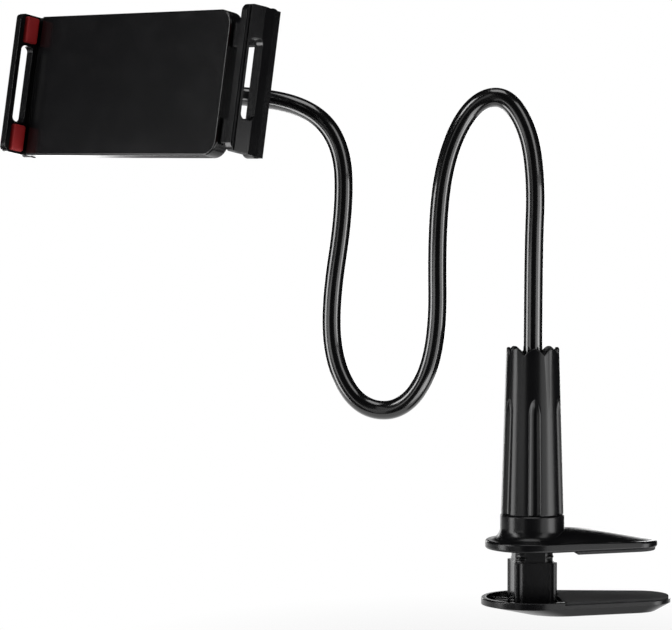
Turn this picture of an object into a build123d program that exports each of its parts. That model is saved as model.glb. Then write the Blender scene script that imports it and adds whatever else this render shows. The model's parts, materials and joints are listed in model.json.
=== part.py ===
from build123d import *
import os
from math import cos, pi, radians, sin, tan

# Gooseneck device holder on a screw clamp, in millimetres.
# Origin on the handle's axis at the underside of the clamp's upper pad, +Z up, +X along the cradle.

# Clearances
slide_gap = 0.3
shaft_gap = 0.08
face_gap = 0.2
wrap_gap = 0.05

# Clamp: foot with its collar
foot_heading = 51.0
foot_round_radius = 24.0
foot_tip_radius = 14.0
foot_tip_reach = 65.0
foot_rim = 4.5
rim_drop = 1.0
foot_edge = 1.2
crown_root_height = 4.5
crown_ridge_height = 5.3
crown_tip_height = 2.0
crown_nose_height = 0.3
crown_nose_half_width = 5.0
crown_inset = 1.5
crown_sink = 1.0
collar_radius = 16.4
collar_height = 13.0
collar_edge = 0.6
flare_radius = 6.0
pad_thickness = 1.5
pad_inset = 1.0
pad_margin = 1.0
upper_pad_start = 19.5

# Clamp: lower jaw with its post and threaded shank
table_gap = 23.5
plate_round_radius = 26.0
plate_tip_radius = 16.0
plate_tip_reach = 72.0
plate_band = 2.0
belly_depth = 4.2
belly_shift = 14.0
belly_round_radius = 20.0
belly_tip_radius = 14.0
belly_tip_reach = 50.0
belly_edge = 1.2
lip_height = 1.5
lip_width = 2.4
lip_edge = 0.7
tray_depth = 1.0
tray_reach = 12.0
rib_width = 2.0
rib_spread = 38.0
post_width = 20.5
bead_radius = 2.3
bead_inset = 1.5
bead_top = -5.0
shank_radius = 10.9
shank_width = 19.4
shank_top = 46.0
shank_edge = 0.8
thread_depth = 1.1

# Fluted handle
handle_length = 85.0
handle_foot_radius = 16.0
handle_top_radius = 13.5
spigot_radius = 14.0
spigot_depth = 6.0
nut_depth = 50.0
crown_wall = 2.2
crown_depth = 6.0
crown_waves = 8
crown_wave_depth = 3.5
crown_turn = -67.5
flute_count = 6
flute_turn = -46.0
flute_width = 6.6
flute_depth = 1.8
flute_top = 59.0
flute_overrun = 1.0
groove_width = 4.5
groove_depth = 1.0
groove_length = 36.0

# Retaining rings
ring_wire = 1.2
ring_bite = 0.9
ring_slit = 4.0
handle_ring_lift = 2.4

# Gooseneck: rod, sleeve and swivel plug
rod_radius = 3.0
sleeve_radius = 4.85
plug_radius = 7.9
plug_length = 20.0
plug_floor = 2.5
plug_ring_lift = 8.0
neck_heading = 207.5
neck_corners = [
    (0.0, 150.5), (-1.5, 187.0), (2.5, 215.0), (15.0, 233.0), (32.0, 228.0), (45.5, 202.5), (50.5, 165.5),
    (49.5, 101.0), (65.5, 71.0), (89.0, 69.5), (104.0, 90.0), (107.5, 121.5), (99.0, 175.5), (101.0, 208.5),
    (119.5, 227.5),
]
neck_end_run = 39.0
bend_share = 0.45

# Cradle: place, covers and ball joint
cradle_center = (-137.3, -145.8, 237.6)
cradle_tilt = 10.2
body_length = 139.0
body_height = 73.0
body_corner = 8.0
front_cover_thickness = 2.0
front_cover_edge = 0.8
back_cover_thickness = 8.0
back_cover_edge = 2.0
back_cover_floor = 2.0
ball_radius = 8.0
ball_setback = 14.0
ball_gap = 0.1
socket_wall = 2.4
socket_overlap = 2.6
socket_slits = 4
socket_slit_width = 1.6
stud_shank_radius = 4.0
stud_shank_length = 13.0
ferrule_wall = 1.7
ferrule_length = 20.0
ferrule_floor = 2.0
ferrule_edge = 0.8
nut_radius = 15.0
nut_standoff = 2.0
nut_wall = 2.0
nut_mouth_radius = 9.2
nut_reach = 7.0
nut_grips = 12
nut_grip_radius = 2.2
nut_edge = 1.0

# Jaws, their pads, tongues and springs
grip_half_length = 79.0
jaw_pad_thickness = 2.5
jaw_pad_height = 13.5
jaw_pad_depth = 8.0
jaw_pad_center = 4.6
jaw_pad_corner = 1.2
jaw_pad_margin = 1.5
jaw_pad_edge = 0.8
jaw_wall = 3.0
jaw_height = 72.5
jaw_front = 12.5
jaw_lip_depth = 3.4
jaw_lip_step = 1.2
jaw_lip_edge = 0.6
jaw_groove = 0.8
jaw_groove_setback = 1.6
jaw_ridge = 1.6
jaw_ridge_level = 2.0
jaw_ridge_foot = -6.0
jaw_front_corner = 4.0
base_front = -1.5
base_thickness = 6.0
base_height = 74.0
base_corner = 4.0
base_step = 0.5
window_height = 40.0
window_width = 8.0
window_corner = 2.8
window_center = 4.8
tongue_row = 24.0
tongue_width = 12.0
tongue_thickness = 3.0
tongue_reach = 76.5
tenon_reach = 15.0
lug_length = 3.0
spring_row = 13.5
spring_radius = 2.6
spring_bore = 1.7
spring_end_wall = 8.0
lug_way_end_wall = 5.0
pocket_height = 16.0

# Cover screws
screw_radius = 1.2
screw_head_radius = 2.2
screw_head_height = 1.5
screw_cover_bite = 1.2
screw_row = 32.2
screw_spacing = 60.0

os.makedirs("parts", exist_ok=True)


def save(piece, name):
    piece.label = name
    export_step(piece, f"parts/{name}.step")


def teardrop(round_radius, tip_radius, tip_reach):
    # Plan outline of a clamp jaw: two circles wrapped by their tangents.
    Circle(round_radius)
    with Locations((tip_reach - tip_radius, 0)):
        Circle(tip_radius)
    make_hull()


def axis_plane(turn, height=0.0):
    # Upright plane through the handle's axis, facing outwards at an angle around it.
    outward = (cos(radians(turn)), sin(radians(turn)), 0)
    sideways = (-sin(radians(turn)), cos(radians(turn)), 0)
    return Plane(origin=(0, 0, height), x_dir=sideways, z_dir=outward)


# Clamp foot: rimmed teardrop, crowned tongue and flared collar over a keyed hole

foot = Plane(origin=(0, 0, pad_thickness), x_dir=(cos(radians(foot_heading)), sin(radians(foot_heading)), 0),
             z_dir=(0, 0, 1))
foot_long_section = Plane(origin=foot.origin, x_dir=foot.x_dir, z_dir=-foot.y_dir)
collar_top = pad_thickness + foot_rim + collar_height
bead_center = post_width / 2 - bead_inset
flare_foot = collar_radius + flare_radius


def post_outline(clearance):
    # Square post with a rounded bead along each corner.
    Rectangle(post_width + 2 * clearance, post_width + 2 * clearance)
    with GridLocations(2 * bead_center, 2 * bead_center, 2, 2):
        Circle(bead_radius + clearance)


def rim_height(reach):
    # Top of the rim, level under the collar and falling towards the tongue's tip.
    return foot_rim - rim_drop * max(reach - flare_foot, 0) / (foot_tip_reach - flare_foot)


def crown_section(reach, half_width, height):
    # Low arch across the tongue, with a short skirt sunk into the rim plate.
    section = Plane(origin=foot.origin + foot.x_dir * reach + foot.z_dir * rim_height(reach),
                    x_dir=foot.y_dir, z_dir=foot.x_dir)
    with BuildSketch(section) as arch:
        with BuildLine():
            ThreePointArc((-half_width, 0), (0, height), (half_width, 0))
            Polyline((half_width, 0), (half_width, -crown_sink), (-half_width, -crown_sink), (-half_width, 0))
        make_face()
    return arch.sketch


tip_center = foot_tip_reach - foot_tip_radius
crown_half_width = foot_round_radius - crown_inset
tip_half_width = foot_tip_radius - crown_inset
nose_reach = foot_tip_reach - 2 * crown_inset
crown_sections = [
    crown_section(0, crown_half_width, crown_root_height),
    crown_section(tip_center / 2, (crown_half_width + tip_half_width) / 2, crown_ridge_height),
    crown_section(tip_center, tip_half_width, crown_tip_height),
    crown_section(nose_reach, crown_nose_half_width, crown_nose_height),
]

with BuildPart() as upper_jaw:
    with BuildSketch(foot):
        teardrop(foot_round_radius, foot_tip_radius, foot_tip_reach)
    extrude(amount=foot_rim)
    with BuildSketch(foot_long_section):
        Polygon((flare_foot, foot_rim), (foot_tip_reach, foot_rim),
                (foot_tip_reach, rim_height(foot_tip_reach)), align=None)
    extrude(amount=foot_round_radius, both=True, mode=Mode.SUBTRACT)
    fillet(upper_jaw.faces().sort_by(Axis.Z)[0].edges(), radius=foot_edge)
    fillet(upper_jaw.faces().sort_by(Axis.Z)[-1].edges(), radius=foot_edge)
    loft(crown_sections)
    with BuildSketch(foot_long_section):
        with BuildLine():
            Polyline((0, foot_rim - crown_sink), (flare_foot, foot_rim - crown_sink),
                     (flare_foot, foot_rim))
            TangentArc((flare_foot, foot_rim), (collar_radius, foot_rim + flare_radius), tangent=(-1, 0))
            Polyline((collar_radius, foot_rim + flare_radius),
                     (collar_radius, foot_rim + collar_height - collar_edge),
                     (collar_radius - collar_edge, foot_rim + collar_height),
                     (0, foot_rim + collar_height), (0, foot_rim - crown_sink))
        make_face()
    revolve(axis=Axis.Z)
    with BuildSketch(foot):
        post_outline(slide_gap)
    extrude(amount=foot_rim + collar_height, mode=Mode.SUBTRACT)
    with BuildSketch(Plane.XY.offset(collar_top)):
        Circle(spigot_radius + shaft_gap)
    extrude(amount=-spigot_depth, mode=Mode.SUBTRACT)
    with BuildSketch(Plane.XY.offset(collar_top - spigot_depth + handle_ring_lift - wrap_gap)):
        Circle(spigot_radius + ring_bite + shaft_gap)
    extrude(amount=ring_wire + 2 * wrap_gap, mode=Mode.SUBTRACT)
save(upper_jaw.part, "upper_jaw")

with BuildPart() as upper_jaw_pad:
    with BuildSketch(foot):
        teardrop(foot_round_radius - pad_inset, foot_tip_radius - pad_inset, foot_tip_reach - pad_inset)
        with Locations((upper_pad_start, 0)):
            Rectangle(2 * foot_tip_reach, 2 * foot_round_radius, align=(Align.MAX, Align.CENTER),
                      mode=Mode.SUBTRACT)
    extrude(amount=-pad_thickness)
save(upper_jaw_pad.part, "upper_jaw_pad")

# Lower jaw: boat-bottomed plate with a lipped tray, keyed post and shank in one moulding

plate_top = -table_gap - pad_thickness
plate = Plane(origin=(0, 0, plate_top), x_dir=foot.x_dir, z_dir=(0, 0, 1))
tray_floor = plate.offset(-tray_depth)
plate_belly = Plane(origin=plate.origin + plate.x_dir * belly_shift, x_dir=plate.x_dir, z_dir=plate.z_dir)
thread_radius = shank_radius + thread_depth

with BuildSketch(plate.offset(-plate_band)) as plate_outline:
    teardrop(plate_round_radius, plate_tip_radius, plate_tip_reach)

with BuildSketch(plate_belly.offset(-plate_band - belly_depth)) as belly_outline:
    teardrop(belly_round_radius, belly_tip_radius, belly_tip_reach)

with BuildPart() as lower_jaw:
    extrude(plate_outline.sketch, amount=plate_band + lip_height)
    loft([plate_outline.sketch, belly_outline.sketch])
    fillet(lower_jaw.faces().sort_by(Axis.Z)[-1].edges(), radius=lip_edge)
    fillet(lower_jaw.faces().sort_by(Axis.Z)[0].edges(), radius=belly_edge)
    with BuildSketch(plate):
        with Locations((tray_reach, 0)):
            Rectangle(plate_tip_reach, 2 * plate_round_radius, align=(Align.MIN, Align.CENTER))
    extrude(amount=lip_height, mode=Mode.SUBTRACT)
    with BuildSketch(tray_floor):
        teardrop(plate_round_radius - lip_width, plate_tip_radius - lip_width, plate_tip_reach - lip_width)
        with Locations((tray_reach, 0)):
            Rectangle(plate_tip_reach, 2 * plate_round_radius, align=(Align.MIN, Align.CENTER),
                      mode=Mode.SUBTRACT)
    extrude(amount=tray_depth + lip_height, mode=Mode.SUBTRACT)
    with BuildSketch(tray_floor):
        for rib_turn in (180 - rib_spread, 180, 180 + rib_spread):
            with Locations(Location((0, 0, 0), (0, 0, rib_turn))):
                Rectangle(plate_round_radius - lip_width / 2, rib_width, align=(Align.MIN, Align.CENTER))
    extrude(amount=tray_depth)
    with BuildSketch(tray_floor):
        post_outline(0)
    extrude(amount=bead_top - plate_top + tray_depth)
    with BuildSketch(Plane(origin=(0, 0, bead_top), x_dir=foot.x_dir, z_dir=(0, 0, 1))):
        Circle(shank_radius)
        Rectangle(shank_width, shank_width, mode=Mode.INTERSECT)
    extrude(amount=shank_top - bead_top)
    chamfer(lower_jaw.faces().sort_by(Axis.Z)[-1].edges(), length=shank_edge)
save(lower_jaw.part, "lower_jaw")

with BuildPart() as lower_jaw_pad:
    with BuildSketch(plate):
        teardrop(plate_round_radius - pad_inset, plate_tip_radius - pad_inset, plate_tip_reach - pad_inset)
        with Locations((tray_reach + pad_margin, 0)):
            Rectangle(2 * plate_tip_reach, 2 * plate_round_radius, align=(Align.MAX, Align.CENTER),
                      mode=Mode.SUBTRACT)
    extrude(amount=pad_thickness)
save(lower_jaw_pad.part, "lower_jaw_pad")

# Handle: tapered, fluted from below, V-grooved from above, with a scalloped crown

handle_base = collar_top + face_gap
handle_top = handle_base + handle_length
handle_slope = (handle_top_radius - handle_foot_radius) / handle_length
plug_top = handle_top - crown_depth
plug_seat = plug_top - plug_length
flute_cutter = (flute_width ** 2 / 4 + flute_depth ** 2) / (2 * flute_depth)
flute_lift = flute_cutter - flute_depth
crown_pitch = 2 * pi * handle_top_radius / crown_waves
spigot_bottom = collar_top - spigot_depth + face_gap


def handle_radius(height):
    # Outside of the tapered grip at a height above its foot.
    return handle_foot_radius + handle_slope * height


with BuildPart() as grip_handle:
    with BuildSketch(Plane.XZ):
        with BuildLine():
            Polyline((0, spigot_bottom), (spigot_radius, spigot_bottom), (spigot_radius, handle_base),
                     (handle_foot_radius, handle_base), (handle_top_radius, handle_top), (0, handle_top),
                     (0, spigot_bottom))
        make_face()
    revolve(axis=Axis.Z)
    with BuildSketch(Plane.XY.offset(spigot_bottom)):
        Circle(thread_radius + slide_gap)
    extrude(amount=nut_depth, mode=Mode.SUBTRACT)
    with BuildSketch(Plane.XY.offset(handle_top)):
        Circle(handle_top_radius - crown_wall)
    extrude(amount=-crown_depth, mode=Mode.SUBTRACT)
    with BuildSketch(Plane.XY.offset(plug_top)):
        Circle(plug_radius + shaft_gap)
    extrude(amount=-plug_length - face_gap, mode=Mode.SUBTRACT)
    with BuildSketch(Plane.XY.offset(plug_seat + plug_ring_lift - wrap_gap)):
        Circle(plug_radius + ring_bite + shaft_gap)
    extrude(amount=ring_wire + 2 * wrap_gap, mode=Mode.SUBTRACT)
    with BuildSketch(Plane.XY.offset(spigot_bottom - face_gap + handle_ring_lift - wrap_gap)):
        Circle(spigot_radius + shaft_gap)
        Circle(spigot_radius - ring_bite, mode=Mode.SUBTRACT)
    extrude(amount=ring_wire + 2 * wrap_gap, mode=Mode.SUBTRACT)
    for flute in range(flute_count):
        turn = radians(flute_turn + 360 * flute / flute_count)
        cut_start = handle_radius(0) + flute_lift
        cut_end_height = flute_top - flute_width / 2
        cut_end = handle_radius(cut_end_height) + flute_lift
        start = Vector(cut_start * cos(turn), cut_start * sin(turn), handle_base)
        end = Vector(cut_end * cos(turn), cut_end * sin(turn), handle_base + cut_end_height)
        run = end - start
        with BuildSketch(Plane(origin=start - run.normalized() * flute_overrun, z_dir=run)):
            Circle(flute_cutter)
        extrude(amount=run.length + flute_overrun, mode=Mode.SUBTRACT)
        with Locations(end):
            Sphere(flute_cutter, mode=Mode.SUBTRACT)
    for groove in range(flute_count):
        turn = radians(flute_turn + 360 * (groove + 0.5) / flute_count)
        outward = Vector(cos(turn), sin(turn), 0)
        groove_run = outward * (groove_depth - handle_slope * groove_length) - Vector(0, 0, groove_length)
        with BuildSketch(Plane(origin=(0, 0, handle_top), x_dir=outward, z_dir=(0, 0, 1))):
            with BuildLine():
                groove_bottom = handle_top_radius - groove_depth
                groove_outside = handle_top_radius + groove_depth
                Polyline((groove_bottom, 0), (groove_outside, groove_width), (groove_outside, -groove_width),
                         close=True)
            make_face()
        extrude(amount=groove_run.length, dir=groove_run.normalized(), mode=Mode.SUBTRACT)
    for wave in range(crown_waves):
        with BuildSketch(axis_plane(crown_turn + 360 * wave / crown_waves, handle_top)):
            with BuildLine():
                TangentArc((-crown_pitch / 2, 0), (0, -crown_wave_depth), tangent=(1, 0))
                TangentArc((crown_pitch / 2, 0), (0, -crown_wave_depth), tangent=(-1, 0))
                Line((crown_pitch / 2, 0), (-crown_pitch / 2, 0))
            make_face()
        extrude(amount=handle_foot_radius, mode=Mode.SUBTRACT)
save(grip_handle.part, "grip_handle")

# Retaining rings: split rings that hold the handle in its collar and the plug in the handle


def split_ring(radius, height):
    with BuildPart() as ring:
        with BuildSketch(Plane.XY.offset(height)):
            Circle(radius + shaft_gap + ring_bite - wrap_gap)
            Circle(radius - ring_bite + wrap_gap, mode=Mode.SUBTRACT)
            Rectangle(2 * radius, ring_slit, align=(Align.MIN, Align.CENTER), mode=Mode.SUBTRACT)
        extrude(amount=ring_wire)
    return ring.part


save(split_ring(spigot_radius, collar_top - spigot_depth + handle_ring_lift), "handle_ring")
save(split_ring(plug_radius, plug_seat + plug_ring_lift), "plug_ring")

# Gooseneck: bendable rod in a smooth sleeve, from the swivel plug to the ball stud

with BuildPart() as neck_plug:
    with BuildSketch(Plane.XY.offset(plug_seat)):
        Circle(plug_radius)
    extrude(amount=plug_length)
    with BuildSketch(Plane.XY.offset(plug_seat + plug_floor)):
        Circle(sleeve_radius + wrap_gap)
    extrude(amount=plug_length, mode=Mode.SUBTRACT)
    with BuildSketch(Plane.XY.offset(plug_seat + plug_ring_lift - wrap_gap)):
        Circle(plug_radius + shaft_gap)
        Circle(plug_radius - ring_bite, mode=Mode.SUBTRACT)
    extrude(amount=ring_wire + 2 * wrap_gap, mode=Mode.SUBTRACT)
save(neck_plug.part, "neck_plug")

cradle_front = (0, -cos(radians(cradle_tilt)), sin(radians(cradle_tilt)))
cradle = Plane(origin=cradle_center, x_dir=(1, 0, 0), z_dir=cradle_front)
cradle_turned = Plane(origin=cradle_center, x_dir=(-1, 0, 0), z_dir=cradle_front)
wall_inner = grip_half_length + jaw_pad_thickness
wall_outer = wall_inner + jaw_wall
base_inner = wall_outer - base_step - base_thickness
body_center = body_length / 2 - base_inner
body_thickness = front_cover_thickness + back_cover_thickness
body = Plane(origin=cradle.origin + cradle.x_dir * body_center, x_dir=cradle.x_dir, z_dir=cradle.z_dir)
ball_center = body.offset(-body_thickness - ball_setback).origin
stud = Plane(origin=ball_center, x_dir=(1, 0, 0), z_dir=(0, 1, 0))
hose_seat = stud.offset(stud_shank_length + ferrule_floor)


def neck_point(reach, height):
    # Point of the neck's upright plane, at a distance from the handle's axis.
    return Vector(reach * cos(radians(neck_heading)), reach * sin(radians(neck_heading)), height)


def bend_radii(points):
    # Largest even arcs that the runs on both sides of each corner leave room for.
    radii = []
    for before, corner, after in zip(points, points[1:], points[2:]):
        turn = (corner - before).get_angle(after - corner)
        run = min((corner - before).length, (after - corner).length)
        radii.append(bend_share * run / tan(radians(turn) / 2))
    return radii


neck_route = [Vector(0, 0, plug_seat + plug_floor)]
neck_route += [neck_point(reach, height) for reach, height in neck_corners]
neck_route += [hose_seat.offset(neck_end_run).origin, hose_seat.origin]

with BuildLine() as neck_line:
    FilletPolyline(*neck_route, radius=bend_radii(neck_route))
neck_path = neck_line.line
neck_start = Plane(origin=neck_path @ 0, z_dir=neck_path % 0)

with BuildPart() as neck_core:
    with BuildSketch(neck_start):
        Circle(rod_radius)
    sweep(path=neck_path)
save(neck_core.part, "neck_core")

with BuildPart() as neck_sleeve:
    with BuildSketch(neck_start):
        Circle(sleeve_radius)
        Circle(rod_radius + wrap_gap, mode=Mode.SUBTRACT)
    sweep(path=neck_path)
save(neck_sleeve.part, "neck_sleeve")

# Ball stud with the ferrule that grips the hose

ferrule_radius = sleeve_radius + wrap_gap + ferrule_wall

with BuildPart() as ball_stud:
    with Locations(ball_center):
        Sphere(ball_radius)
    with BuildSketch(stud):
        Circle(stud_shank_radius)
    extrude(amount=stud_shank_length)
    with BuildSketch(stud.offset(stud_shank_length)):
        Circle(ferrule_radius)
    extrude(amount=ferrule_length)
    chamfer(ball_stud.edges().filter_by(GeomType.CIRCLE).group_by(SortBy.RADIUS)[-2], length=ferrule_edge)
    with BuildSketch(hose_seat):
        Circle(sleeve_radius + wrap_gap)
    extrude(amount=ferrule_length, mode=Mode.SUBTRACT)
save(ball_stud.part, "ball_stud")

# Cradle covers: the back one holds the slide ways, the spring ways and the ball socket

socket_radius = ball_radius + ball_gap + socket_wall
way_depth = tongue_thickness + 2 * slide_gap
spring_anchor = spring_end_wall - body_length / 2
lug_way_end = body_length / 2 - lug_way_end_wall
cover_joint = body.offset(-front_cover_thickness)
back_face = body.offset(-body_thickness)
socket_mouth = body.offset(-body_thickness - ball_setback - socket_overlap)
forward = Axis(body.origin, body.z_dir)


def cover_outline(level):
    # Square at the fixed jaw's end, rounded at the sliding jaw's end.
    with BuildSketch(level) as outline:
        Rectangle(body_length, body_height)
        fillet(outline.vertices().group_by(Axis.X)[-1], radius=body_corner)
    return outline.sketch


with BuildPart() as cradle_front_cover:
    extrude(cover_outline(body), amount=-front_cover_thickness)
    fillet(cradle_front_cover.faces().sort_by(forward)[-1].edges(), radius=front_cover_edge)
    with BuildSketch(cover_joint):
        with GridLocations(screw_spacing, 2 * screw_row, 2, 2):
            Circle(screw_radius + wrap_gap)
    extrude(amount=screw_cover_bite + wrap_gap, mode=Mode.SUBTRACT)
save(cradle_front_cover.part, "cradle_front_cover")

with BuildPart() as cradle_back_cover:
    extrude(cover_outline(cover_joint), amount=-back_cover_thickness)
    fillet(cradle_back_cover.faces().sort_by(forward)[0].edges(), radius=back_cover_edge)
    with BuildSketch(back_face):
        Circle(socket_radius)
    extrude(amount=-ball_setback - socket_overlap)
    with Locations(ball_center):
        Sphere(ball_radius + ball_gap, mode=Mode.SUBTRACT)
    with BuildSketch(socket_mouth):
        with PolarLocations(0, socket_slits):
            Rectangle(socket_radius + socket_wall, socket_slit_width, align=(Align.MIN, Align.CENTER))
    extrude(amount=socket_overlap + ball_radius / 2, mode=Mode.SUBTRACT)
    with BuildSketch(cover_joint):
        Rectangle(body_length - 2 * spring_end_wall, pocket_height)
    extrude(amount=back_cover_floor - back_cover_thickness, mode=Mode.SUBTRACT)
    with BuildSketch(cover_joint):
        with GridLocations(body_length, 2 * tongue_row, 1, 2):
            Rectangle(body_length + back_cover_thickness, tongue_width + 2 * slide_gap)
    extrude(amount=-way_depth, mode=Mode.SUBTRACT)
    for row in (1, -1):
        way_center = (lug_way_end + spring_anchor) / 2
        with BuildSketch(cover_joint):
            with Locations((way_center, row * spring_row)):
                Rectangle(lug_way_end - spring_anchor, 2 * (spring_radius + slide_gap))
        extrude(amount=back_cover_floor - back_cover_thickness, mode=Mode.SUBTRACT)
        with BuildSketch(cover_joint):
            with Locations((way_center, row * (spring_row + tongue_row) / 2)):
                Rectangle(lug_way_end - spring_anchor, tongue_row - spring_row)
        extrude(amount=-way_depth, mode=Mode.SUBTRACT)
    with BuildSketch(back_face):
        with GridLocations(screw_spacing, 2 * screw_row, 2, 2):
            Circle(screw_head_radius + wrap_gap)
    extrude(amount=screw_head_height, mode=Mode.SUBTRACT)
    with BuildSketch(back_face):
        with GridLocations(screw_spacing, 2 * screw_row, 2, 2):
            Circle(screw_radius + wrap_gap)
    extrude(amount=back_cover_thickness, mode=Mode.SUBTRACT)
save(cradle_back_cover.part, "cradle_back_cover")

with BuildPart() as cover_screws:
    with BuildSketch(back_face):
        with GridLocations(screw_spacing, 2 * screw_row, 2, 2):
            Circle(screw_head_radius)
    extrude(amount=screw_head_height)
    with BuildSketch(back_face.offset(screw_head_height)):
        with GridLocations(screw_spacing, 2 * screw_row, 2, 2):
            Circle(screw_radius)
    extrude(amount=back_cover_thickness - screw_head_height + screw_cover_bite)
save(cover_screws.part, "cover_screws")

# Lock nut that closes the socket's fingers on the ball

nut_end = ball_setback + nut_reach

with BuildPart() as lock_nut:
    with BuildSketch(back_face.offset(-nut_standoff)):
        Circle(nut_radius)
        with PolarLocations(nut_radius + nut_grip_radius / 2, nut_grips):
            Circle(nut_grip_radius, mode=Mode.SUBTRACT)
    extrude(amount=nut_standoff - nut_end)
    chamfer(lock_nut.faces().sort_by(forward)[0].edges(), length=nut_edge)
    with BuildSketch(back_face.offset(-nut_standoff)):
        Circle(socket_radius + slide_gap)
    extrude(amount=nut_standoff - nut_end + nut_wall, mode=Mode.SUBTRACT)
    with BuildSketch(back_face.offset(-nut_end)):
        Circle(nut_mouth_radius)
    extrude(amount=nut_wall, mode=Mode.SUBTRACT)
save(lock_nut.part, "lock_nut")

# Jaws: windowed walls with a front lip, on tongues that slide in the covers or short tenons

lip_back = jaw_front - jaw_lip_depth
base_back = -body_thickness
lug_place = wall_inner - tongue_reach
lug_height = tongue_row - spring_row + spring_radius
lug_center = tongue_row - lug_height / 2
tongue_level = -front_cover_thickness - slide_gap - tongue_thickness / 2


def across(base):
    # Plane across a jaw, with its own up and front as x and y.
    return Plane(origin=base.origin, x_dir=base.y_dir, z_dir=base.x_dir)


def make_jaw(base, reach):
    # Windowed wall with its lip, base bar and a pair of tongues that reach into the covers.
    side = across(base)
    section = Plane(origin=base.origin, x_dir=base.x_dir, z_dir=-base.y_dir)
    with BuildPart() as jaw:
        with BuildSketch(section):
            with BuildLine():
                groove_front = jaw_front - jaw_groove_setback
                groove_back = groove_front - jaw_groove
                lip_inner = wall_inner - jaw_lip_step
                Polyline((wall_outer, groove_back), (wall_outer - jaw_groove, groove_back),
                         (wall_outer - jaw_groove, groove_front), (wall_outer, groove_front),
                         (wall_outer, jaw_front - jaw_lip_edge), (wall_outer - jaw_lip_edge, jaw_front),
                         (lip_inner, jaw_front), (lip_inner, lip_back + jaw_lip_edge),
                         (wall_inner, lip_back), (wall_inner, base_back), (wall_outer, base_back),
                         (wall_outer, jaw_ridge_foot), (wall_outer + jaw_ridge, jaw_ridge_level), close=True)
            make_face()
        extrude(amount=jaw_height / 2, both=True)
        with BuildSketch(side) as outline:
            with Locations((0, jaw_front)):
                Rectangle(jaw_height, 2 * (jaw_front - base_back), align=(Align.CENTER, Align.MAX))
            fillet(outline.vertices().group_by(Axis.Y)[-1], radius=jaw_front_corner)
        extrude(amount=2 * wall_outer, mode=Mode.INTERSECT)
        with BuildSketch(side.offset(wall_outer - base_step)):
            with Locations((0, (base_front + base_back) / 2)):
                RectangleRounded(base_height, base_front - base_back, base_corner)
        extrude(amount=-base_thickness)
        with BuildSketch(side.offset(wall_inner - jaw_lip_step)):
            with Locations((0, window_center)):
                RectangleRounded(window_height, window_width, window_corner)
        extrude(amount=2 * jaw_wall + jaw_ridge, mode=Mode.SUBTRACT)
        with BuildSketch(side.offset(wall_inner)):
            with Locations((tongue_row, tongue_level), (-tongue_row, tongue_level)):
                Rectangle(tongue_width, tongue_thickness)
        extrude(amount=-reach)
    return jaw.part


def make_jaw_pad(base, row):
    with BuildPart() as pad:
        with BuildSketch(across(base).offset(wall_inner)):
            with Locations((row, jaw_pad_center)):
                RectangleRounded(jaw_pad_height, jaw_pad_depth, jaw_pad_corner)
        extrude(amount=-jaw_pad_thickness)
        inner_face = pad.faces().sort_by(Axis(base.origin, base.x_dir))[0]
        fillet(inner_face.edges(), radius=jaw_pad_edge)
    return pad.part


def make_spring(row):
    # Outer form of a close-wound tension spring, from its anchor wall to the sliding jaw's lug.
    with BuildPart() as spring:
        with BuildSketch(across(body).offset(spring_anchor)):
            with Locations((row * spring_row, -front_cover_thickness - slide_gap - spring_radius)):
                Circle(spring_radius)
                Circle(spring_bore, mode=Mode.SUBTRACT)
        extrude(amount=lug_place - body_center - spring_anchor - slide_gap)
    return spring.part


jaw_pad_row = window_height / 2 + jaw_pad_margin + jaw_pad_height / 2

with BuildPart() as sliding_jaw:
    add(make_jaw(cradle, tongue_reach))
    with BuildSketch(across(cradle).offset(lug_place)):
        with Locations((lug_center, tongue_level), (-lug_center, tongue_level)):
            Rectangle(lug_height, tongue_thickness)
    extrude(amount=lug_length)
save(sliding_jaw.part, "sliding_jaw")
save(make_jaw_pad(cradle, jaw_pad_row), "sliding_jaw_upper_pad")
save(make_jaw_pad(cradle, -jaw_pad_row), "sliding_jaw_lower_pad")
save(make_spring(1), "upper_spring")
save(make_spring(-1), "lower_spring")

save(make_jaw(cradle_turned, tenon_reach), "fixed_jaw")
save(make_jaw_pad(cradle_turned, -jaw_pad_row), "fixed_jaw_upper_pad")
save(make_jaw_pad(cradle_turned, jaw_pad_row), "fixed_jaw_lower_pad")
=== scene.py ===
import json
from math import asin, ceil, cos, pi, radians, sin, tau

import bmesh
import bpy
from mathutils import Matrix, Vector


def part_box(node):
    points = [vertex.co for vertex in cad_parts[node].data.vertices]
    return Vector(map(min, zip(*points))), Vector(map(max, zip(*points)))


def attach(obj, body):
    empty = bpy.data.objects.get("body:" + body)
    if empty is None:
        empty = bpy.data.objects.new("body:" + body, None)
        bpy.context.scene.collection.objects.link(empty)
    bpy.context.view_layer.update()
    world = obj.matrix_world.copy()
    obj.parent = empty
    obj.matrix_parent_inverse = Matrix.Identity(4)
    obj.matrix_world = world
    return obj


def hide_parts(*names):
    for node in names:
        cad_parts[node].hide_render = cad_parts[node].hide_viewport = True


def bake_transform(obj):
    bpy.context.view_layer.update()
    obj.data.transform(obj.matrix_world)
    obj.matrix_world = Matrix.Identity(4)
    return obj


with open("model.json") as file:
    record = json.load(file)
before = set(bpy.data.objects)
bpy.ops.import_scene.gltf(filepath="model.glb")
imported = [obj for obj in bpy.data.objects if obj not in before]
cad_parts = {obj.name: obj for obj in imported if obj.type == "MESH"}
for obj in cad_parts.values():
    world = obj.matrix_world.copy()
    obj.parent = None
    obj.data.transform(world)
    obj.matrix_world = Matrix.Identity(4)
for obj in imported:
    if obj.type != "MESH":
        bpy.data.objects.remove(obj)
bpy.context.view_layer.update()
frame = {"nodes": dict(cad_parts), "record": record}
scene = bpy.context.scene
MM = 0.001
WHITE = (1.0, 1.0, 1.0, 1.0)

# Places that the pieces share, in millimetres

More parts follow.
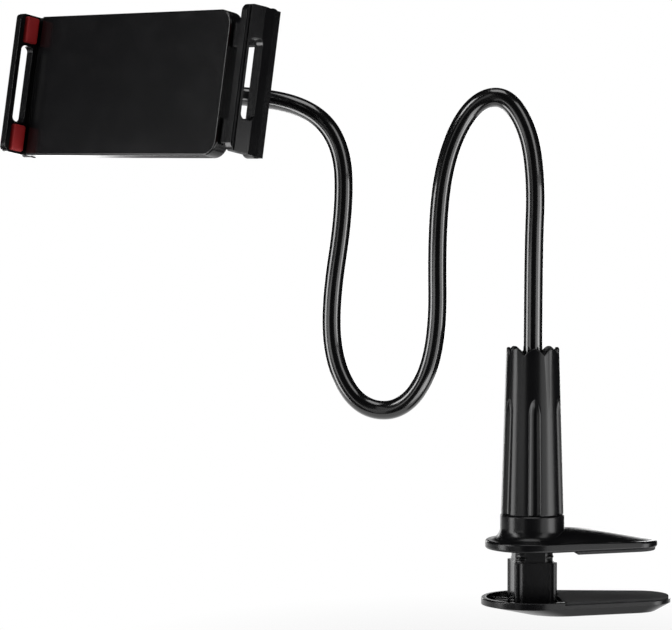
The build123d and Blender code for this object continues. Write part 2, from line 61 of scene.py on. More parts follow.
CRADLE_CENTER = Vector((-137.3, -145.8, 237.6))
CRADLE_TILT = radians(10.2)
CRADLE_X = Vector((1, 0, 0))
CRADLE_FRONT = Vector((0, -cos(CRADLE_TILT), sin(CRADLE_TILT)))
CRADLE_UP = CRADLE_FRONT.cross(CRADLE_X)
COVERS_MIDDLE = -8.5
COVERS_BACK = -10.0
FOOT_HEADING = radians(51.0)
NECK_HEADING = radians(207.5)


def on_cradle(along, up, front):
    """Point of the cradle, along its length, up its face and in front of it."""
    return CRADLE_CENTER + CRADLE_X * along + CRADLE_UP * up + CRADLE_FRONT * front


def on_neck(reach, height):
    """Point of the upright plane that the neck is bent in."""
    return Vector((reach * cos(NECK_HEADING), reach * sin(NECK_HEADING), height))


def on_foot(along, across, height):
    """Point of the clamp, along its foot from the handle's axis."""
    return Vector((along * cos(FOOT_HEADING) - across * sin(FOOT_HEADING),
                   along * sin(FOOT_HEADING) + across * cos(FOOT_HEADING), height))


# Finishes, with the sizes and depths of their grain in millimetres

EDGE_TURN = (0.02, 0.25)
EDGE_SAMPLES = 6


class Tone:
    """A value that changes over a surface; arithmetic on it adds Math nodes."""

    def __init__(self, work, socket):
        self.work = work
        self.socket = socket

    def math(self, operation, first, second):
        return self.work.add("ShaderNodeMath", {0: first, 1: second}, operation=operation)

    def __add__(self, other):
        return self.math("ADD", self, other)

    __radd__ = __add__

    def __sub__(self, other):
        return self.math("SUBTRACT", self, other)

    def __rsub__(self, other):
        return self.math("SUBTRACT", other, self)

    def __mul__(self, other):
        return self.math("MULTIPLY", self, other)

    __rmul__ = __mul__

    def vector_math(self, operation, other):
        return self.work.add("ShaderNodeVectorMath", {0: self, 1: other}, "Value", operation=operation)

    def dot(self, other):
        return self.vector_math("DOT_PRODUCT", other)

    def distance(self, other):
        return self.vector_math("DISTANCE", other)


class NodeWork:
    """The nodes of one finish, or of the studio's surroundings, added one by one."""

    def __init__(self, owner):
        owner.use_nodes = True
        self.owner = owner
        self.tree = owner.node_tree
        self.tree.nodes.clear()

    def add(self, kind, sockets, output=0, **settings):
        node = self.tree.nodes.new(kind)
        for name, value in settings.items():
            setattr(node, name, value)
        for name, value in sockets.items():
            if isinstance(value, Tone):
                self.tree.links.new(value.socket, node.inputs[name])
            else:
                node.inputs[name].default_value = value
        return Tone(self, node.outputs[output]) if node.outputs else node

    def place(self):
        return self.add("ShaderNodeTexCoord", {}, "Object")

    def stretched(self, scale):
        return self.add("ShaderNodeMapping", {"Vector": self.place(), "Scale": scale})

    def noise(self, size_mm, detail=2.0, rough=0.5, where=None):
        where = where or self.place()
        sockets = {"Vector": where, "Scale": 1 / (size_mm * MM), "Detail": detail, "Roughness": rough}
        return self.add("ShaderNodeTexNoise", sockets)

    def cells(self, size_mm):
        return self.add("ShaderNodeTexVoronoi", {"Vector": self.place(), "Scale": 1 / (size_mm * MM)})

    def ramp(self, value, low, high):
        sockets = {"Value": value, "From Min": low, "From Max": high}
        return self.add("ShaderNodeMapRange", sockets, clamp=True)

    def blend(self, share, first, second):
        return self.add("ShaderNodeMix", {0: share, 6: first, 7: second}, 2, data_type="RGBA")

    def rounded(self, radius_mm):
        return self.add("ShaderNodeBevel", {"Radius": radius_mm * MM}, samples=EDGE_SAMPLES)

    def edges(self, radius_mm):
        """How near a surface is to a corner, from a rounded normal against the true one."""
        true = self.add("ShaderNodeNewGeometry", {}, "Normal")
        return self.ramp(1 - self.rounded(radius_mm).dot(true), *EDGE_TURN)

    def bump(self, height, depth_mm, strength, soft_edge_mm=0.0):
        sockets = {"Height": height, "Distance": depth_mm * MM, "Strength": strength}
        if soft_edge_mm:
            sockets["Normal"] = self.rounded(soft_edge_mm)
        return self.add("ShaderNodeBump", sockets)

    def ray(self, kind):
        return self.add("ShaderNodeLightPath", {}, f"Is {kind} Ray")

    def surface(self, **values):
        return self.add("ShaderNodeBsdfPrincipled",
                        {name.replace("_", " "): value for name, value in values.items()})

    def mixed(self, share, first, second):
        return self.add("ShaderNodeMixShader", {0: share, 1: first, 2: second})

    def close(self, shader, kind="Material"):
        self.add(f"ShaderNodeOutput{kind}", {0: shader})
        return self.owner


def finish(name):
    return NodeWork(bpy.data.materials.new(name))


def color(r, g, b):
    return (r, g, b, 1.0)


def satin_black():
    """Moulded black plastic with a fine spark-eroded grain, paler at its edges, partly from wear and partly
    as a painted highlight along them.
    """
    f = finish("satin_black")
    grain = f.noise(0.35, detail=3.0, rough=0.6)
    patch = f.noise(16.0, detail=3.0, rough=0.55)
    # Paler edges: partly wear, partly a painted highlight where the edges would catch the lamps.
    rubbed_and_highlit = f.edges(0.5) * f.ramp(f.noise(5.0, detail=4.0, rough=0.65), 0.3, 0.7)
    base = f.blend(patch, color(0.0025, 0.0025, 0.003), color(0.005, 0.005, 0.0055))
    base = f.blend(rubbed_and_highlit * 0.8, base, color(0.1, 0.1, 0.102))
    rough = 0.2 + 0.05 * patch + 0.04 * grain + 0.08 * rubbed_and_highlit
    normal = f.bump(grain, depth_mm=0.008, strength=0.4, soft_edge_mm=0.5)
    return f.close(f.surface(Base_Color=base, Roughness=rough, Normal=normal, IOR=1.46,
                             Specular_IOR_Level=0.38))


def gloss_black():
    """Polished black plastic with hairlines and faint handling marks."""
    f = finish("gloss_black")
    hair = f.noise(0.5, detail=4.0, rough=0.7, where=f.stretched((0.06, 1.0, 1.0)))
    marks = f.ramp(f.noise(13.0, detail=4.0, rough=0.6), 0.45, 0.8)
    # Paler edges: partly wear, partly a painted highlight along them.
    rubbed_and_highlit = f.edges(0.4) * f.ramp(f.noise(4.0, detail=4.0, rough=0.65), 0.45, 0.75)
    base = f.blend(marks, color(0.0035, 0.0035, 0.004), color(0.006, 0.006, 0.0065))
    base = f.blend(rubbed_and_highlit * 0.5, base, color(0.03, 0.03, 0.031))
    rough = 0.17 + 0.025 * marks + 0.03 * hair
    normal = f.bump(f.noise(2.2), depth_mm=0.01, strength=0.35, soft_edge_mm=0.4)
    return f.close(f.surface(Base_Color=base, Roughness=rough, Normal=normal, IOR=1.47))


def sleeve_black():
    """Glossy soft sleeve, a little uneven along its length, with fine dust."""
    f = finish("sleeve_black")
    uneven = f.noise(14.0, detail=1.0, rough=0.4)
    dust = f.ramp(f.noise(0.9), 0.72, 0.84)
    base = f.blend(dust * 0.15, color(0.0015, 0.0015, 0.0018), color(0.03, 0.03, 0.03))
    rough = 0.2 + 0.06 * uneven + 0.1 * dust
    normal = f.bump(uneven, depth_mm=0.05, strength=0.4)
    return f.close(f.surface(Base_Color=base, Roughness=rough, Normal=normal, IOR=1.5,
                             Coat_Weight=1.0, Coat_Roughness=0.08))


def red_pad():
    """Matt dark red silicone with a fine moulded grain."""
    f = finish("red_pad")
    grain = f.noise(0.4, detail=3.0, rough=0.6)
    patch = f.noise(6.0, detail=3.0, rough=0.6)
    base = f.blend(patch, color(0.27, 0.006, 0.008), color(0.36, 0.012, 0.014))
    rough = 0.52 + 0.15 * patch
    normal = f.bump(grain, depth_mm=0.03, strength=0.5)
    return f.close(f.surface(Base_Color=base, Roughness=rough, Normal=normal, IOR=1.42))


def clamp_pad():
    """Dark closed-cell foam, its colour darker in the pores' hollows as painted shade."""
    f = finish("clamp_pad")
    pores = f.ramp(f.cells(0.55), 0.05, 0.5)
    patch = f.noise(8.0, detail=3.0, rough=0.6)
    # Darker where the bump sinks the pores: painted shade in the hollows.
    base = f.blend(pores, color(0.008, 0.008, 0.008), color(0.024, 0.024, 0.025))
    base = f.blend(patch * 0.4, base, color(0.034, 0.034, 0.035))
    rough = 0.8 + 0.12 * patch
    normal = f.bump(pores, depth_mm=0.08, strength=0.7)
    return f.close(f.surface(Base_Color=base, Roughness=rough, Normal=normal))


def bright_steel():
    """Drawn and rolled steel wire and screws."""
    f = finish("bright_steel")
    drawn = f.noise(0.25, detail=4.0, rough=0.7, where=f.stretched((0.1, 1.0, 1.0)))
    base = f.blend(drawn, color(0.42, 0.42, 0.43), color(0.6, 0.6, 0.61))
    rough = 0.24 + 0.16 * drawn
    normal = f.bump(drawn, depth_mm=0.01, strength=0.4)
    return f.close(f.surface(Base_Color=base, Metallic=1.0, Roughness=rough, Normal=normal))


def drawn_rod():
    """Bare aluminium rod with drawing lines."""
    f = finish("drawn_rod")
    lines = f.noise(0.3, detail=4.0, rough=0.7, where=f.stretched((1.0, 1.0, 0.08)))
    base = f.blend(lines, color(0.5, 0.5, 0.51), color(0.68, 0.68, 0.69))
    rough = 0.3 + 0.15 * lines
    normal = f.bump(lines, depth_mm=0.01, strength=0.4)
    return f.close(f.surface(Base_Color=base, Metallic=1.0, Roughness=rough, Normal=normal))


FINISHES = {
    "satin_black": satin_black(),
    "gloss_black": gloss_black(),
    "sleeve_black": sleeve_black(),
    "red_pad": red_pad(),
    "clamp_pad": clamp_pad(),
    "steel": bright_steel(),
    "core_metal": drawn_rod(),
}

for row in frame["record"]["subparts"]:
    node_mesh = frame["nodes"][row["node"]].data
    node_mesh.materials.clear()
    node_mesh.materials.append(FINISHES[row["material_slot"]])


# Mesh helpers, with the angles in degrees below which an edge is shaded smooth

SMOOTH_TUBE = 60.0
SMOOTH_PAD = 50.0
SMOOTH_CUT = 40.0
CORNER_STEPS = 8
TIP_STEPS = 40


def piece_from(name, bm, slot, smooth_below):
    """Object in metres from a mesh made in millimetres, with its finish."""
    bmesh.ops.recalc_face_normals(bm, faces=bm.faces)
    bmesh.ops.scale(bm, vec=(MM, MM, MM), verts=bm.verts)
    mesh = bpy.data.meshes.new(name)
    bm.to_mesh(mesh)
    bm.free()
    mesh.materials.append(FINISHES[slot])
    mesh.shade_smooth()
    mesh.set_sharp_from_angle(angle=radians(smooth_below))
    piece = bpy.data.objects.new(name, mesh)
    scene.collection.objects.link(piece)
    return piece


def add_skin(bm, rings):
    """Closed skin over a row of rings that have the same number of points."""
    rings = [[bm.verts.new(place) for place in ring] for ring in rings]
    for ring, following in zip(rings, rings[1:]):
        for k in range(len(ring)):
            bm.faces.new((ring[k - 1], ring[k], following[k], following[k - 1]))
    bm.faces.new(rings[0])
    bm.faces.new(rings[-1])


def make_tube(name, path, radius, sides, slot):
    """Closed round tube along a path, its rings carried without twist."""
    across = None
    rings = []
    for index, place in enumerate(path):
        before = path[max(index - 1, 0)]
        after = path[min(index + 1, len(path) - 1)]
        along = (after - before).normalized()
        across = across or along.orthogonal()
        across = (across - along * across.dot(along)).normalized()
        other = along.cross(across)
        turns = [tau * k / sides for k in range(sides)]
        rings.append([place + (across * cos(turn) + other * sin(turn)) * radius for turn in turns])
    bm = bmesh.new()
    add_skin(bm, rings)
    return piece_from(name, bm, slot, SMOOTH_TUBE)


def spline_points(route, order, steps):
    """Points along a smooth spline whose control points are the route."""
    curve = bpy.data.curves.new("route", "CURVE")
    curve.dimensions = "3D"
    curve.resolution_u = steps
    line = curve.splines.new("NURBS")
    line.points.add(len(route) - 1)
    for point, place in zip(line.points, route):
        point.co = (*place, 1)
    line.order_u = order
    line.use_endpoint_u = True
    holder = bpy.data.objects.new("route", curve)
    scene.collection.objects.link(holder)
    bpy.context.view_layer.update()
    mesh = bpy.data.meshes.new_from_object(holder.evaluated_get(bpy.context.evaluated_depsgraph_get()))
    points = [v.co.copy() for v in mesh.vertices]
    bpy.data.objects.remove(holder)
    bpy.data.meshes.remove(mesh)
    return points


def rounded_rectangle(width, height, radius):
    """Outline of a rectangle with round corners."""
    points = []
    for corner, (side, end) in enumerate(((1, 1), (-1, 1), (-1, -1), (1, -1))):
        for k in range(CORNER_STEPS + 1):
            turn = pi / 2 * (corner + k / CORNER_STEPS)
            points.append((side * (width / 2 - radius) + radius * cos(turn),
                           end * (height / 2 - radius) + radius * sin(turn)))
    return points


def make_pad(name, node, body, slot, outline, rings, place):
    """Pad over an outline: each ring of its skin is drawn in by some amount and raised by another."""
    middle = [(min(values) + max(values)) / 2 for values in zip(*outline)]
    half = [(max(values) - min(values)) / 2 for values in zip(*outline)]
    skin = []
    for inset, rise in rings:
        ring = []
        for point in outline:
            a, b = (m + (p - m) * (1 - inset / h) for p, m, h in zip(point, middle, half))
            ring.append(place(a, b, rise))
        skin.append(ring)
    bm = bmesh.new()
    add_skin(bm, skin)
    pad = piece_from(name, bm, slot, SMOOTH_PAD)
    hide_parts(node)
    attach(pad, body)
    return pad


# Gooseneck: sleeve and rod as smooth tubes, parted at the top of the arch

PLUG_FLOOR = 80.7
BALL_SETBACK = 14.0
HOSE_SETBACK = 15.0
BALL_CENTER = on_cradle(COVERS_MIDDLE, 0, COVERS_BACK - BALL_SETBACK)
HOSE_SEAT = BALL_CENTER + Vector((0, HOSE_SETBACK, 0))
NECK_END_RUN = 39.0
NECK_CORNERS = [
    (0.0, 150.5), (-1.5, 187.0), (2.5, 215.0), (15.0, 233.0), (32.0, 228.0), (45.5, 202.5), (50.5, 165.5),
    (49.5, 101.0), (65.5, 71.0), (89.0, 69.5), (104.0, 90.0), (107.5, 121.5), (99.0, 175.5), (101.0, 208.5),
    (119.5, 227.5),
]
NECK_ORDER = 3
NECK_STEPS = 24
SLEEVE_RADIUS = 4.85
SLEEVE_SIDES = 96
ROD_RADIUS = 3.0
ROD_SIDES = 24
PART_REACH = 21.0
TIP_HINGE = HOSE_SEAT + Vector((0, 23.0, 0))
TIP_HALF = Vector((0, 10.0, 0))


def make_neck():
    route = [Vector((0, 0, PLUG_FLOOR))]
    route += [on_neck(reach, height) for reach, height in NECK_CORNERS]
    route += [HOSE_SEAT + Vector((0, NECK_END_RUN, 0)), HOSE_SEAT]
    path = spline_points(route, NECK_ORDER, NECK_STEPS)
    parting = next(i for i, place in enumerate(path) if place.dot(on_neck(1, 0)) > PART_REACH)
    for name, radius, sides, slot in (("neck_sleeve", SLEEVE_RADIUS, SLEEVE_SIDES, "sleeve_black"),
                                      ("neck_core", ROD_RADIUS, ROD_SIDES, "core_metal")):
        rise = make_tube(f"{name}_rise", path[:parting + 1], radius, sides, slot)
        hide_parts(name)
        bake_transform(rise)
        reach = make_tube(f"{name}_reach", path[parting:], radius, sides, slot)
        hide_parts(name)
        (TIP_HINGE + TIP_HALF) * MM
        (TIP_HINGE - TIP_HALF) * MM
        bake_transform(reach)


make_neck()

# Handle: fluted from below, faintly faceted from above, with a scalloped crown

HANDLE_BASE = 19.2
HANDLE_TOP = 104.2
HANDLE_FOOT_RADIUS = 16.0
HANDLE_TOP_RADIUS = 13.5
HANDLE_COLUMNS = 480
HANDLE_ROWS = 140
HANDLE_CHAMFER = 0.35
CROWN_WALL = 2.2
CROWN_DEPTH = 6.0
CROWN_WAVES = 8
CROWN_WAVE_DEPTH = 3.5
CROWN_PEAK = 1.6
CROWN_TURN = radians(-69.0)
FLUTES = 6
FLUTE_TURN = radians(-46.0)
FLUTE_HALF_TURN = radians(12.0)
FLUTE_HALF_WIDTH = 3.3
FLUTE_DEPTH = 1.8
FLUTE_TOP = 78.2
FLUTE_ARCH = 8.0
FACET_HALF_TURN = radians(10.5)
FACET_DEPTH = 0.35
FACET_LENGTH = 36.0
PLUG_BORE = 7.98
PLUG_BORE_FOOT = 78.0
PLUG_GROOVE = (8.88, 86.15, 87.45)
SPIGOT_RADIUS = 14.0
SPIGOT_FOOT = 13.2
SPIGOT_GROOVE = (13.1, 15.35, 16.65)
NUT_BORE = 12.3
NUT_BORE_TOP = 63.2


def off_nearest(turn, first, count):
    """Angle from the nearest of a number of places spread evenly round the handle."""
    step = tau / count
    return abs((turn - first + step / 2) % step - step / 2)


def rim_height(turn):
    """Crown's rim: round peaks between V-shaped valleys."""
    share = off_nearest(turn, CROWN_TURN, CROWN_WAVES) * CROWN_WAVES / pi
    return HANDLE_TOP - CROWN_WAVE_DEPTH * (1 - share) ** CROWN_PEAK


def grip_radius(turn, height):
    """Tapered outside of the handle, less its flutes and facets."""
    taper = (HANDLE_TOP_RADIUS - HANDLE_FOOT_RADIUS) / (HANDLE_TOP - HANDLE_BASE)
    radius = HANDLE_FOOT_RADIUS + taper * (height - HANDLE_BASE)
    cutter = (FLUTE_HALF_WIDTH ** 2 + FLUTE_DEPTH ** 2) / (2 * FLUTE_DEPTH)
    across = FLUTE_HALF_WIDTH * off_nearest(turn, FLUTE_TURN, FLUTES) / FLUTE_HALF_TURN
    past = FLUTE_HALF_WIDTH * max(0, 1 - (FLUTE_TOP - height) / FLUTE_ARCH)
    flute = max(0, cutter ** 2 - across ** 2 - past ** 2) ** 0.5 - (cutter - FLUTE_DEPTH)
    beside = off_nearest(turn, FLUTE_TURN + pi / FLUTES, FLUTES) / FACET_HALF_TURN
    facet = FACET_DEPTH * (1 - beside - (HANDLE_TOP - height) / FACET_LENGTH)
    return radius - max(0, flute) - max(0, facet)


def chamfered_radius(turn, height):
    return grip_radius(turn, height) - HANDLE_CHAMFER


def below_rim(turn):
    return rim_height(turn) - HANDLE_CHAMFER


def bore_with_groove(radius, foot, top, groove):
    """Radius and height of each step up a bore or a spigot that has a groove for its split ring."""
    groove_radius, groove_foot, groove_top = groove
    return [(radius, foot), (radius, groove_foot), (groove_radius, groove_foot),
            (groove_radius, groove_top), (radius, groove_top), (radius, top)]


def grip_ring(radius_at, height_at):
    """Ring round the handle, from a rule for its height and one for its radius there."""
    ring = []
    for column in range(HANDLE_COLUMNS):
        turn = FLUTE_TURN + tau * column / HANDLE_COLUMNS
        height = height_at(turn)
        radius = radius_at(turn, height)
        ring.append((radius * cos(turn), radius * sin(turn), height))
    return ring


def level_ring(radius, height):
    return grip_ring(lambda turn, at: radius, lambda turn: height)


def make_handle():
    """Skin from the plug's bore out over the crown, down the grip and up into the nut's bore."""
    crown_radius = HANDLE_TOP_RADIUS - CROWN_WALL
    crown_floor = HANDLE_TOP - CROWN_DEPTH
    grip_foot = HANDLE_BASE + HANDLE_CHAMFER
    plug_bore = bore_with_groove(PLUG_BORE, PLUG_BORE_FOOT, crown_floor, PLUG_GROOVE)
    spigot = bore_with_groove(SPIGOT_RADIUS, SPIGOT_FOOT, HANDLE_BASE, SPIGOT_GROOVE)
    rings = [level_ring(*step) for step in plug_bore]
    rings.append(level_ring(crown_radius, crown_floor))
    rings.append(grip_ring(lambda turn, at: crown_radius, below_rim))
    rings.append(grip_ring(lambda turn, at: crown_radius + HANDLE_CHAMFER, rim_height))
    rings.append(grip_ring(chamfered_radius, rim_height))
    for row in range(HANDLE_ROWS + 1):
        share = 1 - row / HANDLE_ROWS
        rings.append(grip_ring(grip_radius, lambda turn: grip_foot + (below_rim(turn) - grip_foot) * share))
    rings.append(grip_ring(chamfered_radius, lambda turn: HANDLE_BASE))
    rings += [level_ring(*step) for step in reversed(spigot)]
    rings += [level_ring(NUT_BORE, SPIGOT_FOOT), level_ring(NUT_BORE, NUT_BORE_TOP)]
    bm = bmesh.new()
    add_skin(bm, rings)
    handle = piece_from("fluted_handle", bm, "satin_black", SMOOTH_CUT)
    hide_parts("grip_handle")
    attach(handle, "handle")


make_handle()

# Clamp: the screw thread on the post's shank, and the two foam pads

SHANK_RADIUS = 10.9
SHANK_FLAT = 9.7
THREAD_PITCH = 3.0
THREAD_DEPTH = 1.1
THREAD_FOOT = -5.0
THREAD_TOP = 44.6
THREAD_STEPS = 72
THREAD_RUN_OUT = 0.25
THREAD_ROOT_HALF = 1.05
THREAD_CREST_HALF = 0.35
THREAD_SINK = 0.2
FLAT_SINK = 0.05
FOOT_ROUND_RADIUS = 24.0
FOOT_TIP_RADIUS = 14.0
FOOT_TIP_REACH = 65.0
UPPER_FOAM_START = 19.5
PLATE_ROUND_RADIUS = 26.0
PLATE_TIP_RADIUS = 16.0
PLATE_TIP_REACH = 72.0
PLATE_TOP = -25.0
LOWER_FOAM_START = 13.0
FOAM_INSET = 1.0
FOAM_THICKNESS = 1.5
FOAM_RINGS = [(0.0, 0.0), (0.0, 1.05), (0.1, 1.3), (0.3, 1.45), (0.6, FOAM_THICKNESS)]


def make_shank_thread():
    """Thread left on the four rounded corners between the shank's flats, running out at both ends."""
    count = ceil((THREAD_TOP - THREAD_FOOT) / THREAD_PITCH * THREAD_STEPS)
    rings = []
    for step in range(count + 1):
        turn = step / THREAD_STEPS
        left = (count - step) / THREAD_STEPS
        run_out = min(1, turn / THREAD_RUN_OUT, left / THREAD_RUN_OUT)
        across = max(abs(cos(tau * turn)), abs(sin(tau * turn)))
        flat = SHANK_FLAT / across - FLAT_SINK
        crest = min(SHANK_RADIUS + THREAD_DEPTH * run_out, flat)
        root = min(SHANK_RADIUS, flat) - THREAD_SINK
        height = THREAD_FOOT + THREAD_PITCH * turn
        profile = ((root, -THREAD_ROOT_HALF), (crest, -THREAD_CREST_HALF),
                   (crest, THREAD_CREST_HALF), (root, THREAD_ROOT_HALF))
        rings.append([on_foot(radius * cos(tau * turn), radius * sin(tau * turn), height + rise)
                      for radius, rise in profile])
    bm = bmesh.new()
    add_skin(bm, rings)
    thread = piece_from("shank_thread", bm, "satin_black", SMOOTH_CUT)
    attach(thread, "lower_jaw")


def foam_outline(round_radius, tip_radius, tip_reach, start):
    """Outline of a jaw's tapering tongue with its round tip, drawn in and cut straight at its start."""
    tip_center = tip_reach - tip_radius
    slope = asin((round_radius - tip_radius) / tip_center)
    foam_tip = tip_radius - FOAM_INSET
    half_width = (round_radius - FOAM_INSET - start * sin(slope)) / cos(slope)
    turns = [(slope - pi / 2) + (pi - 2 * slope) * k / TIP_STEPS for k in range(TIP_STEPS + 1)]
    tip = [(tip_center + foam_tip * cos(turn), foam_tip * sin(turn)) for turn in turns]
    return [(start, -half_width), *tip, (start, half_width)]


def make_foam_pads():
    upper_outline = foam_outline(FOOT_ROUND_RADIUS, FOOT_TIP_RADIUS, FOOT_TIP_REACH, UPPER_FOAM_START)
    upper = make_pad("upper_foam", "upper_jaw_pad", "clamp_base", "clamp_pad", upper_outline, FOAM_RINGS,
                     lambda a, b, rise: on_foot(a, b, FOAM_THICKNESS - rise))
    lower_outline = foam_outline(PLATE_ROUND_RADIUS, PLATE_TIP_RADIUS, PLATE_TIP_REACH, LOWER_FOAM_START)
    lower = make_pad("lower_foam", "lower_jaw_pad", "lower_jaw", "clamp_pad", lower_outline, FOAM_RINGS,
                     lambda a, b, rise: on_foot(a, b, PLATE_TOP + rise))


make_shank_thread()
make_foam_pads()

# Cradle: crowned red pads, coil springs and cross-recessed screws

WALL_INNER = 81.5
PAD_ROW = 28.25
PAD_LEVEL = 4.6
PAD_SIZE = (13.5, 8.0)
PAD_CORNER = 1.2
PAD_RINGS = [(0.0, 0.0), (0.0, 1.7), (0.1, 2.05), (0.35, 2.28), (0.9, 2.42), (1.9, 2.48), (3.0, 2.5)]
SPRING_START = -70.0
SPRING_END = 4.7
SPRING_ROW = 13.5
SPRING_LEVEL = -4.9
COIL_RADIUS = 2.15
WIRE_RADIUS = 0.44
WIRE_SIDES = 8
COILS = 44
COIL_STEPS = 16
SCREW_SPACING = 60.0
SCREW_ROW = 32.2
SCREW_TIP = -0.8
SCREW_RADIUS = 1.2
SCREW_SIDES = 72
HEAD_HEIGHT = 1.5
HEAD_RADIUS = 2.2
HEAD_EDGE = 0.1
HEAD_SHOULDER = 0.35
DOME_RADIUS = 2.0
DOME_HEIGHT = 0.15
DOME_RINGS = 20
RECESS_DEPTH = 0.8
RECESS_REACH = 1.3
RECESS_HALF = 0.3
RECESS_WALL = 0.1
RECESS_RAMP = 0.4


def make_jaw_pads():
    for jaw, side, body in (("fixed", -1, "cradle"), ("sliding", 1, "sliding_jaw")):
        for level, row in (("upper", PAD_ROW), ("lower", -PAD_ROW)):
            make_pad(f"{jaw}_{level}_red", f"{jaw}_jaw_{level}_pad", body, "red_pad",
                     rounded_rectangle(*PAD_SIZE, PAD_CORNER), PAD_RINGS,
                     lambda a, b, rise: on_cradle(side * (WALL_INNER - rise), row + a, PAD_LEVEL + b))


def make_springs():
    count = COILS * COIL_STEPS
    length = SPRING_END - SPRING_START - 2 * WIRE_RADIUS
    for level, row in (("upper", SPRING_ROW), ("lower", -SPRING_ROW)):
        wire = []
        for step in range(count + 1):
            turn = tau * step / COIL_STEPS
            along = SPRING_START + WIRE_RADIUS + length * step / count
            up = row + COIL_RADIUS * cos(turn)
            wire.append(on_cradle(along, up, SPRING_LEVEL + COIL_RADIUS * sin(turn)))
        spring = make_tube(f"{level}_coil", wire, WIRE_RADIUS, WIRE_SIDES, "steel")
        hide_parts(f"{level}_spring")
        on_cradle(SPRING_START, row, SPRING_LEVEL) * MM
        on_cradle(SPRING_END, row, SPRING_LEVEL) * MM
        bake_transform(spring)


def recess(x, y):
    """Depth of the cross recess at a point of a screw's head."""
    deepest = 0.0
    for along, across in ((abs(x), abs(y)), (abs(y), abs(x))):
        wall = min(1, max(0, (RECESS_HALF + RECESS_WALL - across) / RECESS_WALL))
        ramp = min(1, max(0, (RECESS_REACH - along) / RECESS_RAMP))
        deepest = max(deepest, RECESS_DEPTH * wall * ramp)
    return deepest


def screw_outline():
    """Radius and level of each ring of a screw, from its tip to the middle of its domed head."""
    head_foot = COVERS_BACK + HEAD_HEIGHT
    outline = [(SCREW_RADIUS, SCREW_TIP), (SCREW_RADIUS, head_foot), (HEAD_RADIUS, head_foot),
               (HEAD_RADIUS, COVERS_BACK + HEAD_SHOULDER),
               (HEAD_RADIUS - HEAD_EDGE, COVERS_BACK + DOME_HEIGHT)]
    for ring in range(DOME_RINGS, 0, -1):
        share = ring / DOME_RINGS
        outline.append((DOME_RADIUS * share, COVERS_BACK + DOME_HEIGHT * share ** 4))
    return outline


def make_screws():
    turns = [tau * k / SCREW_SIDES for k in range(SCREW_SIDES)]
    bm = bmesh.new()
    for middle in (COVERS_MIDDLE - SCREW_SPACING / 2, COVERS_MIDDLE + SCREW_SPACING / 2):
        for row in (-SCREW_ROW, SCREW_ROW):
            rings = []
            for radius, level in screw_outline():
                on_head = level < COVERS_BACK + HEAD_HEIGHT
                ring = []
                for turn in turns:
                    x = radius * cos(turn)
                    y = radius * sin(turn)
                    sink = recess(x, y) if on_head else 0
                    ring.append(on_cradle(middle + x, row + y, level + sink))
                rings.append(ring)
            add_skin(bm, rings)
    screws = piece_from("cross_screws", bm, "steel", SMOOTH_CUT)
    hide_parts("cover_screws")
    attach(screws, "cradle")


make_jaw_pads()
make_springs()
make_screws()

# Camera at the photograph's angle

VIEW_AZIMUTH = radians(43.0)
VIEW_PITCH = radians(-3.05)
CAMERA_PLACE = Vector((1017.3, -1237.7, 205.7)) * MM
FOCAL_PIXELS = 3150.0
IMAGE_WIDTH = 672.0
SENSOR = 36.0

flat_along = Vector((-sin(VIEW_AZIMUTH), cos(VIEW_AZIMUTH), 0))
view_right = Vector((cos(VIEW_AZIMUTH), sin(VIEW_AZIMUTH), 0))
view_along = flat_along * cos(VIEW_PITCH) + Vector((0, 0, sin(VIEW_PITCH)))


def aimed(holder, place, along):
    """Sets a camera or lamp at a place, looking along a direction."""
    scene.collection.objects.link(holder)
    holder.matrix_world = Matrix.Translation(place) @ along.to_track_quat("-Z", "Y").to_matrix().to_4x4()


lens = bpy.data.cameras.new("camera")
lens.sensor_width = SENSOR
lens.sensor_fit = "HORIZONTAL"
lens.lens = FOCAL_PIXELS / IMAGE_WIDTH * SENSOR
lens.clip_start = 0.05
lens.clip_end = 50.0
camera = bpy.data.objects.new("camera", lens)
aimed(camera, CAMERA_PLACE, view_along)
scene.camera = camera

# Studio, in metres: soft boxes around the holder, a pale floor under it and a white backdrop behind it

LOOK_AT = Vector((-0.06, -0.08, 0.13))
JAW_DROP = 0.0245
FLOOR_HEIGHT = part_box("lower_jaw")[0].z - JAW_DROP
FLOOR_RADIUS = 0.36
FLOOR_SEGMENTS = 96
FLOOR_BEHIND = 0.26
FLOOR_LEFT = 0.1
FLOOR_MIDDLE = flat_along * FLOOR_BEHIND - view_right * FLOOR_LEFT
SHADE_FADE = (0.04, 0.24)
FLOOR_FADE = (0.3, 0.355)
SHADE_SHARE = 0.22
ROOM_LIGHT = 0.015
BACKDROP_FADE = (cos(radians(14)), cos(radians(9)))


def soft_box(name, bearing, rise, distance, width, height, radiance):
    """Soft box at a bearing from the way to the camera, counted to the image's right, and a rise."""
    lamp = bpy.data.lights.new(name, "AREA")
    lamp.shape = "RECTANGLE"
    lamp.size = width
    lamp.size_y = height
    lamp.energy = pi * width * height * radiance
    holder = bpy.data.objects.new(name, lamp)
    holder.visible_camera = False
    out = view_right * sin(radians(bearing)) - flat_along * cos(radians(bearing))
    aim = out * cos(radians(rise)) + Vector((0, 0, sin(radians(rise))))
    aimed(holder, LOOK_AT + aim * distance, -aim)


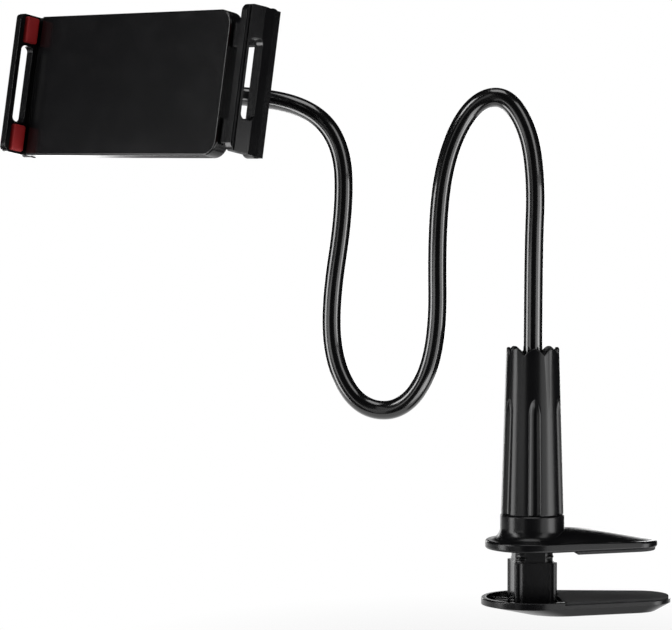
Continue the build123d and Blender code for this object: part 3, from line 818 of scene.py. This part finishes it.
soft_box("left_strip", bearing=-82, rise=-14, distance=1.03, width=0.36, height=0.98, radiance=6.0)
soft_box("left_low_panel", bearing=-46, rise=-5.5, distance=1.15, width=0.55, height=0.2, radiance=1.6)
soft_box("left_high_strip", bearing=-70, rise=27, distance=1.19, width=0.32, height=0.74, radiance=7.5)
soft_box("left_panel", bearing=-33, rise=3, distance=1.3, width=0.2, height=2.2, radiance=0.6)
soft_box("right_panel", bearing=52, rise=-19, distance=1.22, width=0.9, height=1.06, radiance=1.6)
soft_box("right_strip", bearing=72, rise=-20, distance=1.17, width=0.5, height=1.06, radiance=4.0)
soft_box("right_high_panel", bearing=48, rise=27.5, distance=1.3, width=0.5, height=1.0, radiance=2.2)
soft_box("low_panel", bearing=30, rise=-38, distance=1.25, width=0.8, height=0.5, radiance=3.0)
soft_box("top_panel", bearing=0, rise=88, distance=1.5, width=0.8, height=0.8, radiance=2.6)
soft_box("rear_left_panel", bearing=-162, rise=-5, distance=1.4, width=0.35, height=0.9, radiance=3.0)
soft_box("rear_right_panel", bearing=162, rise=-5, distance=1.4, width=0.35, height=0.9, radiance=3.0)


def white_floor():
    """Pale floor that reads white and fades out before its own edge; round the clamp it is darker, partly
    from its real shadow and partly as a painted shade.
    """
    f = finish("white_floor")
    pale = f.blend(f.noise(60.0), color(0.86, 0.86, 0.86), color(0.9, 0.9, 0.9))
    lit = f.surface(Base_Color=pale, Roughness=0.9)
    glow = f.add("ShaderNodeEmission", {"Color": WHITE, "Strength": 1.0})
    seen = f.ray("Camera") + f.ray("Glossy") + f.ray("Transmission")
    from_clamp = f.place().distance((0, 0, 0))
    from_middle = f.place().distance(FLOOR_MIDDLE)
    # Round the clamp more of the lit floor shows: its real shadow, and a painted grey halo that fades out
    # from the clamp.
    shade = (1 - f.ramp(from_clamp, *SHADE_FADE)) * (1 - f.ramp(from_middle, *FLOOR_FADE))
    return f.close(f.mixed(seen * (1 - SHADE_SHARE * shade), lit, glow))


def make_floor():
    bm = bmesh.new()
    bmesh.ops.create_circle(bm, cap_ends=True, segments=FLOOR_SEGMENTS, radius=FLOOR_RADIUS,
                            matrix=Matrix.Translation(FLOOR_MIDDLE))
    mesh = bpy.data.meshes.new("floor")
    bm.to_mesh(mesh)
    bm.free()
    mesh.materials.append(white_floor())
    floor = bpy.data.objects.new("floor", mesh)
    floor.location.z = FLOOR_HEIGHT
    scene.collection.objects.link(floor)


def surroundings():
    """Dim room all round, with a white backdrop that the camera sees and gloss finds behind the object."""
    w = NodeWork(bpy.data.worlds.new("studio"))
    room = w.add("ShaderNodeBackground", {"Color": WHITE, "Strength": ROOM_LIGHT})
    backdrop = w.add("ShaderNodeBackground", {"Color": WHITE, "Strength": 1.0})
    toward = w.add("ShaderNodeTexCoord", {}, "Generated")
    behind = w.ramp(toward.dot(flat_along), *BACKDROP_FADE)
    seen = w.ray("Camera") + (w.ray("Glossy") + w.ray("Transmission")) * behind
    return w.close(w.mixed(seen, room, backdrop), "World")


make_floor()
scene.world = surroundings()
scene.view_settings.view_transform = "Standard"
